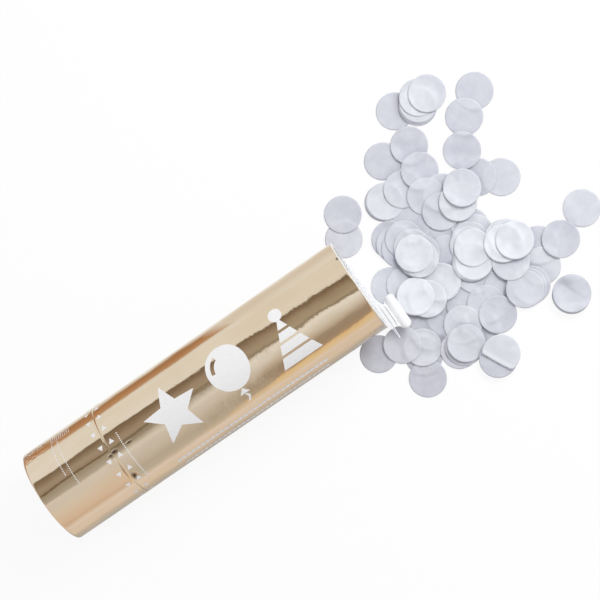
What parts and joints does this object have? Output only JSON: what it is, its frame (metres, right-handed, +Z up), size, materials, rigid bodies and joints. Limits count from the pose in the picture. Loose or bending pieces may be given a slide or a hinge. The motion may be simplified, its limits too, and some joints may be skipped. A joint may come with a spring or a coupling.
{
  "type": "confetti popper",
  "caption": "Foil-wrapped twist-to-fire confetti popper lying on its side, its round tissue discs poured out in front of the mouth",
  "frame": {"origin": "on the surface that the part rests on, under the middle of the whole part's box, tissue discs included", "axes": "+X along the tube from the base to the mouth, +Z up from the surface, +Y to the left of the direction of fire"},
  "size_m": [0.319, 0.157, 0.052],
  "materials": {
    "board": "white-lined wound board",
    "foil": "champagne gold mirror foil on paper",
    "grey_plastic": "moulded",
    "white_plastic": "moulded",
    "red_plastic": "moulded",
    "clear_film": "clear sheet",
    "tissue": "thin bluish white tissue",
    "bottle_metal": "drawn, satin",
    "brass": "turned",
    "rubber": "smooth",
    "steel": "ground",
    "felt": "pressed felt"
  },
  "bodies": {
    "barrel": {"barrel_tube": "board", "barrel_foil": "foil", "nozzle_block": "grey_plastic", "mouth_seal": "clear_film", "confetti_floor_layer": "tissue", "confetti_second_layer": "tissue", "confetti_third_layer": "tissue", "confetti_upper_layers": "tissue", "confetti_curl": "tissue", "confetti_folded": "tissue"},
    "grip": {"grip_tube": "board", "grip_foil": "foil", "base_cap": "grey_plastic", "bottle_cradle": "grey_plastic", "twist_coupler": "white_plastic", "air_bottle": "bottle_metal", "neck_insert": "brass", "neck_gasket": "rubber", "crimp_collar": "bottle_metal"},
    "valve": {"valve_plunger": "red_plastic", "plunger_o_rings": "rubber", "cross_pin": "steel"},
    "wad": {"pusher_cup": "white_plastic", "wad_pad": "felt"}
  },
  "joints": [
    {"name": "grip_twist", "type": "hinge", "parent": "barrel", "child": "grip", "pos_m": [-0.1595, 0.0035, 0.026], "axis": [1, 0, 0], "range_deg": [0, 90]},
    {"name": "valve_lift", "type": "slide", "parent": "barrel", "child": "valve", "axis": [1, 0, 0], "range_m": [0, 0.0065]},
    {"name": "wad_slide", "type": "slide", "parent": "barrel", "child": "wad", "axis": [1, 0, 0], "range_m": [0, 0.08]}
  ],
  "couplings": [
    {"joint": "valve_lift", "follows": "grip_twist", "m_per_rad": 0.004138}
  ]
}
